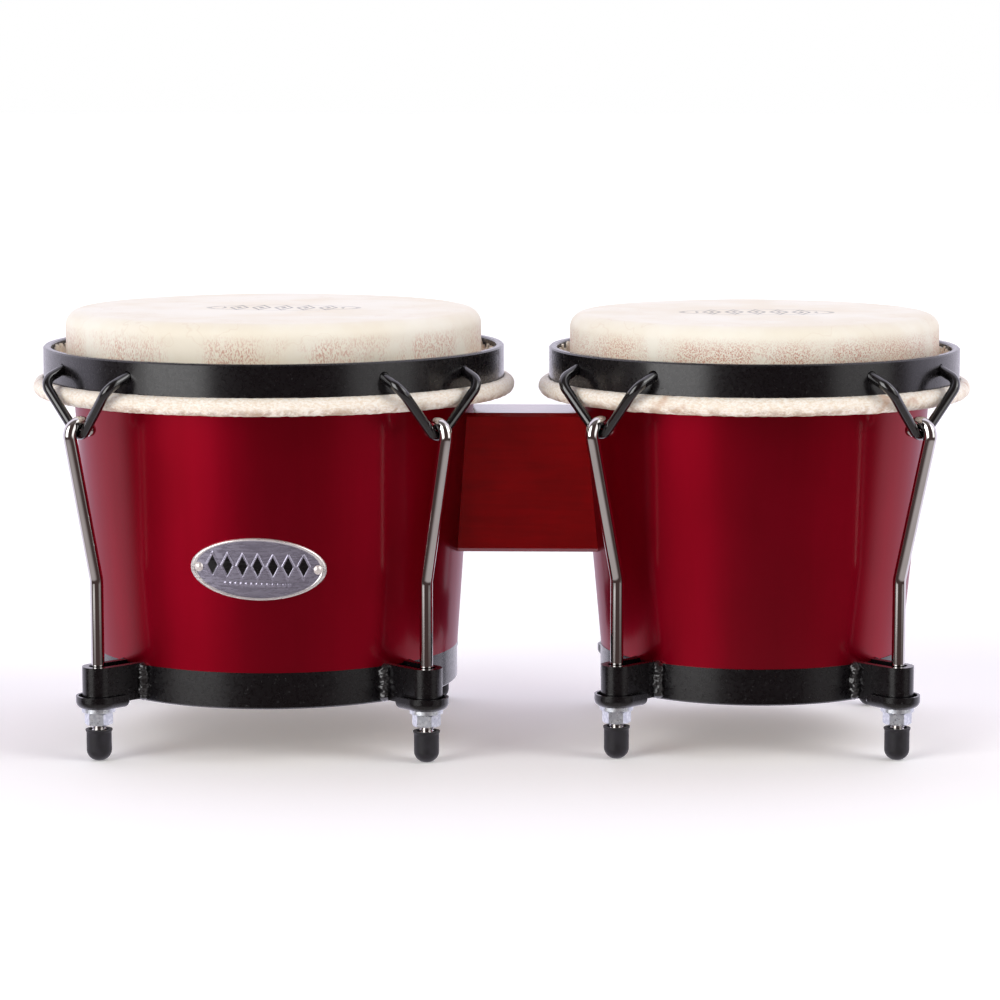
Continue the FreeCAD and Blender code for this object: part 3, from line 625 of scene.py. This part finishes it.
def make_trim(drum, material):
    """The cut edge of the hide, standing up in the gap between collar and hoop."""
    outer = drum.hoop_radius - TRIM_INSET
    rows = 7
    vertices = []
    faces = []
    rings = []
    low = drum.tube_z + 1.2 * MM
    for outside in (True, False):
        for row in range(rows) if outside else range(rows - 1, -1, -1):
            ring = []
            for step in range(TRIM_SEGMENTS):
                angle = 2 * math.pi * step / TRIM_SEGMENTS
                z = low + (trim_height(drum, angle) - low) * row / (rows - 1)
                spot = Vector((math.cos(angle), math.sin(angle), 0)) * outer + Vector((0, 0, z))
                wave = 0.35 * MM * (1 + noise.noise(spot / (6 * MM))) * row / (rows - 1)
                reach = outer - wave - (0 if outside else SKIN * 0.9)
                ring.append(len(vertices))
                vertices.append((drum.x + reach * math.cos(angle), reach * math.sin(angle), z))
            rings.append(ring)
    for first, second in zip(rings, rings[1:] + rings[:1]):
        faces += ring_quads(first, second, False)
    piece = mesh_piece(drum.name + "_hide_trim", vertices, faces, material)
    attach(piece, drum.hoop_body)


# ---------------------------------------------------------- rods and weld beads

ROD_RADIUS = 2.65 * MM
THREAD_CREST = 2.95 * MM
THREAD_ROOT = 2.4 * MM
THREAD_PITCH = 1.0 * MM
THREAD_TOP = 33.0 * MM
THREAD_FADE = 1.5 * MM
THREAD_RINGS_PER_TURN = 12
ROD_BOTTOM = 2.5 * MM
ROD_KNEE = 73.0 * MM
ROD_KNEE_BEND = 12.0 * MM
HOOK_RADIUS = 4.9 * MM
HOOK_HEIGHT = 131.85 * MM
HOOK_END = 160
ROD_SEGMENTS = 32
STRAP_HALF = 6.4 * MM
RING_FACE = {"large": 75.4 * MM, "small": 62.7 * MM}
BEAD_RADIUS = 2.7 * MM
BEAD_LOW = 22.9 * MM
BEAD_HIGH = 38.6 * MM
BEAD_RINGS = 56
BEAD_SEGMENTS = 24


def from_lug(drum, lug, x, y, z):
    """Place a point given with x pointing outward through a lug."""
    turn = math.radians(lug)
    return (
        drum.x + x * math.cos(turn) - y * math.sin(turn),
        x * math.sin(turn) + y * math.cos(turn),
        z,
    )


def rod_path(drum):
    """Centreline of a tension rod from the open end of its hook down to the thread."""
    over = drum.hook_centre - drum.rod_axis
    rise = HOOK_HEIGHT - ROD_KNEE
    aim = math.atan2(rise, over) - math.asin(HOOK_RADIUS / math.hypot(over, rise))
    points = arc(drum.hook_centre, HOOK_HEIGHT, HOOK_RADIUS, HOOK_END, math.degrees(aim) - 90, 48)
    turn = (math.pi / 2 - aim) / 2
    cut_back = ROD_KNEE_BEND * math.tan(turn)
    bend_start = (drum.rod_axis + cut_back * math.cos(aim), ROD_KNEE + cut_back * math.sin(aim))
    bend_end = (drum.rod_axis, ROD_KNEE - cut_back)
    points += line(points[-1], bend_start, 24)
    bend_middle = drum.rod_axis + ROD_KNEE_BEND
    points += arc(bend_middle, bend_end[1], ROD_KNEE_BEND, 90 + math.degrees(aim), 180, 8)[1:]
    points += line(bend_end, (drum.rod_axis, THREAD_TOP), 12)
    return points


def thread_radius(z, turn):
    """Radius of the rolled thread at a height and at a share of a full turn."""
    phase = (z / THREAD_PITCH - turn) % 1
    ridge = THREAD_ROOT + (THREAD_CREST - THREAD_ROOT) * (1 - abs(2 * phase - 1))
    plain = max(0.0, 1 - (THREAD_TOP - z) / THREAD_FADE)
    tip = max(0.0, 1 - (z - ROD_BOTTOM) / THREAD_PITCH)
    return ridge * (1 - plain) + ROD_RADIUS * plain - (ridge - THREAD_ROOT) * tip


def make_rod(drum, number, material):
    """Hooked rod with a real helical thread on its lower end."""
    lug = LUG_ANGLES[number - 1]
    vertices = []
    rings = []
    path = rod_path(drum)
    for index, (x, z) in enumerate(path):
        before = path[max(index - 1, 0)]
        after = path[min(index + 1, len(path) - 1)]
        along = Vector((after[0] - before[0], after[1] - before[1])).normalized()
        steps_of_tip = [(0.0, 1.0)]
        if index == 0:
            tilts = [t * math.pi / 12 for t in range(1, 7)]
            steps_of_tip = [(math.cos(tilt), math.sin(tilt)) for tilt in tilts]
        for back, wide in steps_of_tip:
            ring = []
            for step in range(ROD_SEGMENTS):
                angle = 2 * math.pi * step / ROD_SEGMENTS
                out = ROD_RADIUS * wide * math.cos(angle)
                side = ROD_RADIUS * wide * math.sin(angle)
                place_x = x - along.y * out - along.x * ROD_RADIUS * back
                place_z = z + along.x * out - along.y * ROD_RADIUS * back
                ring.append(len(vertices))
                vertices.append(from_lug(drum, lug, place_x, side, place_z))
            rings.append(ring)
    thread_rings = round((THREAD_TOP - ROD_BOTTOM) / THREAD_PITCH * THREAD_RINGS_PER_TURN)
    for row in range(1, thread_rings + 1):
        z = THREAD_TOP - (THREAD_TOP - ROD_BOTTOM) * row / thread_rings
        ring = []
        for step in range(ROD_SEGMENTS):
            turn = step / ROD_SEGMENTS
            reach = thread_radius(z, turn)
            angle = 2 * math.pi * turn
            ring.append(len(vertices))
            place_x = drum.rod_axis + reach * math.cos(angle)
            vertices.append(from_lug(drum, lug, place_x, reach * math.sin(angle), z))
        rings.append(ring)
    faces = []
    for first, second in zip(rings, rings[1:]):
        faces += ring_quads(first, second, False)
    vertices.append(from_lug(drum, lug, *tip_of(path)))
    faces += fan(len(vertices) - 1, rings[0], True)
    vertices.append(from_lug(drum, lug, drum.rod_axis, 0, ROD_BOTTOM))
    faces += fan(len(vertices) - 1, rings[-1], False)
    piece = mesh_piece(f"{drum.name}_rod_{number}", vertices, faces, material)
    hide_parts(f"{drum.name}_tension_rod_{number}")
    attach(piece, drum.hoop_body)


def tip_of(path):
    """The outermost point of the round end of the hook."""
    along = Vector((path[1][0] - path[0][0], path[1][1] - path[0][1])).normalized()
    return path[0][0] - along.x * ROD_RADIUS, 0, path[0][1] - along.y * ROD_RADIUS


def make_welds(drum, material):
    """Lumpy beads down both legs of every strap, run out over the top and bottom."""
    corner_x = math.sqrt(RING_FACE[drum.name] ** 2 - STRAP_HALF ** 2)
    vertices = []
    faces = []
    for lug in LUG_ANGLES:
        for side in (-1, 1):
            rings = []
            for row in range(BEAD_RINGS + 1):
                share = row / BEAD_RINGS
                z = BEAD_LOW + (BEAD_HIGH - BEAD_LOW) * share
                taper = max(0.05, 1 - abs(2 * share - 1) ** 9)
                ring = []
                for step in range(BEAD_SEGMENTS):
                    angle = 2 * math.pi * step / BEAD_SEGMENTS
                    spot = Vector(from_lug(drum, lug, corner_x + 2 * MM * math.cos(angle),
                                           side * STRAP_HALF + 2 * MM * math.sin(angle), z))
                    lumps = 0.3 * noise.noise(spot / (1.3 * MM)) + 0.3 * noise.noise(spot / (3.4 * MM))
                    reach = BEAD_RADIUS * taper * (1 + lumps)
                    x = corner_x + max(-2 * MM, 0.3 * MM + reach * math.cos(angle))
                    out = max(-2.2 * MM, 0.3 * MM + reach * math.sin(angle))
                    ring.append(len(vertices))
                    vertices.append(from_lug(drum, lug, x, side * (STRAP_HALF + out), z))
                rings.append(ring)
            for first, second in zip(rings, rings[1:]):
                faces += ring_quads(first, second, side < 0)
            for ring, flip in ((rings[0], side > 0), (rings[-1], side < 0)):
                middle = sum((Vector(vertices[k]) for k in ring), Vector()) / len(ring)
                vertices.append(tuple(middle))
                faces += fan(len(vertices) - 1, ring, flip)
    piece = mesh_piece(drum.name + "_weld_beads", vertices, faces, material)
    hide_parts(drum.name + "_lug_welds")
    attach(piece, ROOT)


def soften(node, width):
    """Round off a CAD node's sharp edges a little."""
    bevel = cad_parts[node].modifiers.new("soft_edges", "BEVEL")
    bevel.width = width
    bevel.segments = 2
    bevel.limit_method = "ANGLE"
    bevel.angle_limit = math.radians(40)


# ---------------------------------------------------------------------- badge

BADGE_RINGS = 96
BADGE_SPOKES = 360
BADGE_PLATE = 0.9 * MM
BADGE_RIM_RISE = 0.6 * MM


def badge_relief(across, up):
    """Height of the ornament above the plate at a place on it, both in metres from its middle."""
    height = 0.0
    column = round(across / ORNAMENT_PITCH)
    if abs(column) <= 3:
        sideways = abs(across - column * ORNAMENT_PITCH)
        slant = sideways / DIAMOND_HALF_WIDTH + abs(up - ORNAMENT_RISE) / DIAMOND_HALF_HEIGHT
        height = 0.4 * MM * max(0.0, 1 - abs(slant - 1.15) / 0.2)
    bead_pitch = 2.1 * MM
    bead = round(across / bead_pitch)
    if abs(bead) <= 6:
        distance = math.hypot(across - bead * bead_pitch, up + 6.0 * MM)
        height = max(height, max(0.0, 1 - (distance / (0.75 * MM)) ** 2) * 0.3 * MM)
    return height


def make_badge(material):
    """Oval plate curved to the shell with a rounded raised rim and a plain geometric ornament."""
    low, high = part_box("badge")
    centre_x = (low.x + high.x) / 2
    centre_z = (low.z + high.z) / 2
    vertices = []
    rings = []
    for ring_number in range(1, BADGE_RINGS + 1):
        share = ring_number / BADGE_RINGS
        ring = []
        for step in range(BADGE_SPOKES):
            angle = 2 * math.pi * step / BADGE_SPOKES
            across = BADGE_HALF_WIDTH * share * math.cos(angle)
            up = BADGE_HALF_HEIGHT * share * math.sin(angle)
            rise = BADGE_PLATE + badge_relief(across, up)
            into_rim = (share - BADGE_RIM_START) / (1 - BADGE_RIM_START)
            if into_rim > 0:
                rise = BADGE_PLATE + BADGE_RIM_RISE * math.sin(math.pi * min(1.0, into_rim)) ** 0.6
            ring.append(len(vertices))
            vertices.append(badge_point(centre_x, centre_z, across, up, rise))
        rings.append(ring)
    back = []
    for index in rings[-1]:
        x, y, z = vertices[index]
        reach = math.hypot(x - large.x, y)
        shrink = (large.cone(z) + 0.02 * MM) / reach
        back.append(len(vertices))
        vertices.append((large.x + (x - large.x) * shrink, y * shrink, z))
    vertices.append(badge_point(centre_x, centre_z, 0, 0, BADGE_PLATE + badge_relief(0, 0)))
    top_centre = len(vertices) - 1
    vertices.append(badge_point(centre_x, centre_z, 0, 0, 0.02 * MM))
    back_centre = len(vertices) - 1
    faces = fan(top_centre, rings[0], True)
    for first, second in zip(rings, rings[1:]):
        faces += ring_quads(second, first, False)
    faces += ring_quads(back, rings[-1], False)
    faces += fan(back_centre, back, False)
    piece = mesh_piece("badge_plate", vertices, faces, material)
    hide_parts("badge")
    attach(piece, ROOT)


def badge_point(centre_x, centre_z, across, up, rise):
    """A point on the badge, tilted clockwise and laid on the shell's cone."""
    x = centre_x + across * math.cos(BADGE_TILT) + up * math.sin(BADGE_TILT)
    z = centre_z - across * math.sin(BADGE_TILT) + up * math.cos(BADGE_TILT)
    reach = large.cone(z) + rise
    y = -math.sqrt(reach ** 2 - (x - large.x) ** 2)
    return (x, y, z)


# ------------------------------------------------------------------- assembly

black = powder_coat()
weld_black = weld_coat()
wire_black = wire_coat()
chrome_plate = chrome()
zinc_plate = zinc()
steel = plain_steel()
rubber = foot_rubber()
badge_plate = badge_metal()

for drum in DRUMS:
    prefix = drum.name + "_"
    hide = rawhide(drum)
    dress(prefix + "shell", lacquered_shell(drum))
    dress(prefix + "head_skin", hide)
    dress(prefix + "rawhide_wrap", hide)
    dress(prefix + "flesh_ring", steel)
    dress(prefix + "counter_hoop", black)
    dress(prefix + "bottom_ring", black)
    dress(prefix + "lug_straps", black)
    dress(prefix + "lug_plates", black)
    dress(prefix + "lug_welds", weld_black)
    dress(prefix + "lug_washers", zinc_plate)
    for number in range(1, len(LUG_ANGLES) + 1):
        dress(prefix + f"hook_link_{number}", wire_black)
        dress(prefix + f"tension_rod_{number}", chrome_plate)
        dress(prefix + f"tuning_nut_{number}", zinc_plate)
        dress(prefix + f"foot_cap_{number}", rubber)
    make_skin(drum, hide)
    make_trim(drum, hide)
    make_welds(drum, weld_black)
    for number in range(1, len(LUG_ANGLES) + 1):
        make_rod(drum, number, chrome_plate)
    for part in ("lug_straps", "lug_plates", "bottom_ring", "counter_hoop"):
        soften(prefix + part, SOFT_EDGE)

dress("centre_block", lacquered_block())
dress("block_bolts", steel)
dress("block_washers", steel)
dress("badge", badge_plate)
dress("badge_pins", pin_metal())
make_badge(badge_plate)


# ----------------------------------------------------------------- the studio

SURROUND_START = -0.1
SURROUND_FULL = 0.15
DARK_SIDE = (0.075, 0.05, 0.048, 1.0)
GROUND_SIDE = (0.5, 0.46, 0.46, 1.0)
GROUND_START = -0.3
GROUND_FULL = -0.46
WHITE_SIDE = (1.06, 1.01, 1.18, 1.0)
KEY_AZIMUTH = -46
KEY_POWER = 4.7
FILL_AZIMUTH = 60
FILL_POWER = 1.6
HIGH_FILL_AZIMUTH = 72
HIGH_FILL_POWER = 3.2
HIGH_FILL_BOTTOM = 0.42
HIGH_FILL_TOP = 0.85
SOFTBOX_HALF = 17
SOFTBOX_FADE = 6
SOFTBOX_BOTTOM = -0.12
SOFTBOX_TOP = 0.7
TOP_POWER = 0.1
FLOOR_REACH = 12.0
LENS = 122.3
SENSOR = 36.0
CAMERA_PLACE = (0.0380, -1.3995, 0.2863)
CAMERA_PITCH = 82.3
CAMERA_YAW = 1.57


def make_floor():
    mesh = bpy.data.meshes.new("studio_floor")
    reach = FLOOR_REACH
    corners = [(-reach, -reach, 0), (reach, -reach, 0), (reach, reach, 0), (-reach, reach, 0)]
    mesh.from_pydata(corners, [], [(0, 1, 2, 3)])
    floor = bpy.data.objects.new("studio_floor", mesh)
    bpy.context.scene.collection.objects.link(floor)
    finish = Finish("studio_floor", Base_Color=(0.9, 0.9, 0.9, 1.0), Roughness=0.9)
    finish.set("Emission Color", (1.0, 1.0, 1.0, 1.0))
    finish.set("Emission Strength", 0.2)
    finish.set("Specular IOR Level", 0.1)
    mesh.materials.append(finish.material)
    floor.visible_glossy = False


class Studio(Shading):
    """White behind and beside the object. Ahead of it, dark with three softboxes over a lit ground."""

    def __init__(self):
        world = bpy.data.worlds.new("studio")
        world.use_nodes = True
        bpy.context.scene.world = world
        super().__init__(world.node_tree, "Generated")
        self.across, self.depth, self.rise = self.xyz()
        ground = self.remap(self.rise, GROUND_FULL, GROUND_START, 1.0, 0.0)
        ahead = self.mix(ground, DARK_SIDE, GROUND_SIDE)
        surround = self.mix(self.remap(self.depth, SURROUND_START, SURROUND_FULL), ahead, WHITE_SIDE)
        key = self.softbox(KEY_AZIMUTH, KEY_POWER)
        fill = self.softbox(FILL_AZIMUTH, FILL_POWER)
        high_fill = self.softbox(HIGH_FILL_AZIMUTH, HIGH_FILL_POWER, HIGH_FILL_BOTTOM, HIGH_FILL_TOP)
        boxes = self.math("ADD", key, fill)
        boxes = self.math("ADD", boxes, high_fill)
        boxes = self.math("ADD", boxes, self.remap(self.rise, 0.75, 0.9, 0.0, TOP_POWER))
        light = self.mix(1.0, surround, boxes, "ADD")
        seen = self.nodes.new("ShaderNodeLightPath").outputs["Is Camera Ray"]
        shown = self.mix(seen, light, (1.0, 1.0, 1.0, 1.0))
        self.links.new(shown, self.nodes["Background"].inputs["Color"])

    def softbox(self, azimuth, power, bottom=SOFTBOX_BOTTOM, top=SOFTBOX_TOP):
        """A tall soft panel at an angle from straight ahead, between two heights of view."""
        rise_squared = self.math("MULTIPLY", self.rise, self.rise)
        level = self.math("SQRT", self.math("SUBTRACT", 1.0, rise_squared))
        sideways = self.math("MULTIPLY", self.across, math.sin(math.radians(azimuth)))
        toward = self.math("MULTIPLY_ADD", self.depth, -math.cos(math.radians(azimuth)), sideways)
        facing = self.math("DIVIDE", toward, level)
        dark_from = math.cos(math.radians(SOFTBOX_HALF + SOFTBOX_FADE))
        full_from = math.cos(math.radians(SOFTBOX_HALF - SOFTBOX_FADE))
        wide = self.remap(facing, dark_from, full_from)
        low = self.remap(self.rise, bottom - 0.08, bottom + 0.08)
        high = self.remap(self.rise, top - 0.15, top + 0.15, 1.0, 0.0)
        upright = self.math("MULTIPLY", low, high)
        return self.math("MULTIPLY", self.math("MULTIPLY", wide, power), upright)


def make_camera():
    camera = bpy.data.cameras.new("camera")
    camera.lens = LENS
    camera.sensor_width = SENSOR
    camera.clip_end = 50.0
    holder = bpy.data.objects.new("camera", camera)
    holder.location = CAMERA_PLACE
    holder.rotation_euler = (math.radians(CAMERA_PITCH), 0, math.radians(CAMERA_YAW))
    bpy.context.scene.collection.objects.link(holder)
    bpy.context.scene.camera = holder


make_floor()
Studio()
make_camera()
bpy.context.scene.view_settings.view_transform = "Standard"
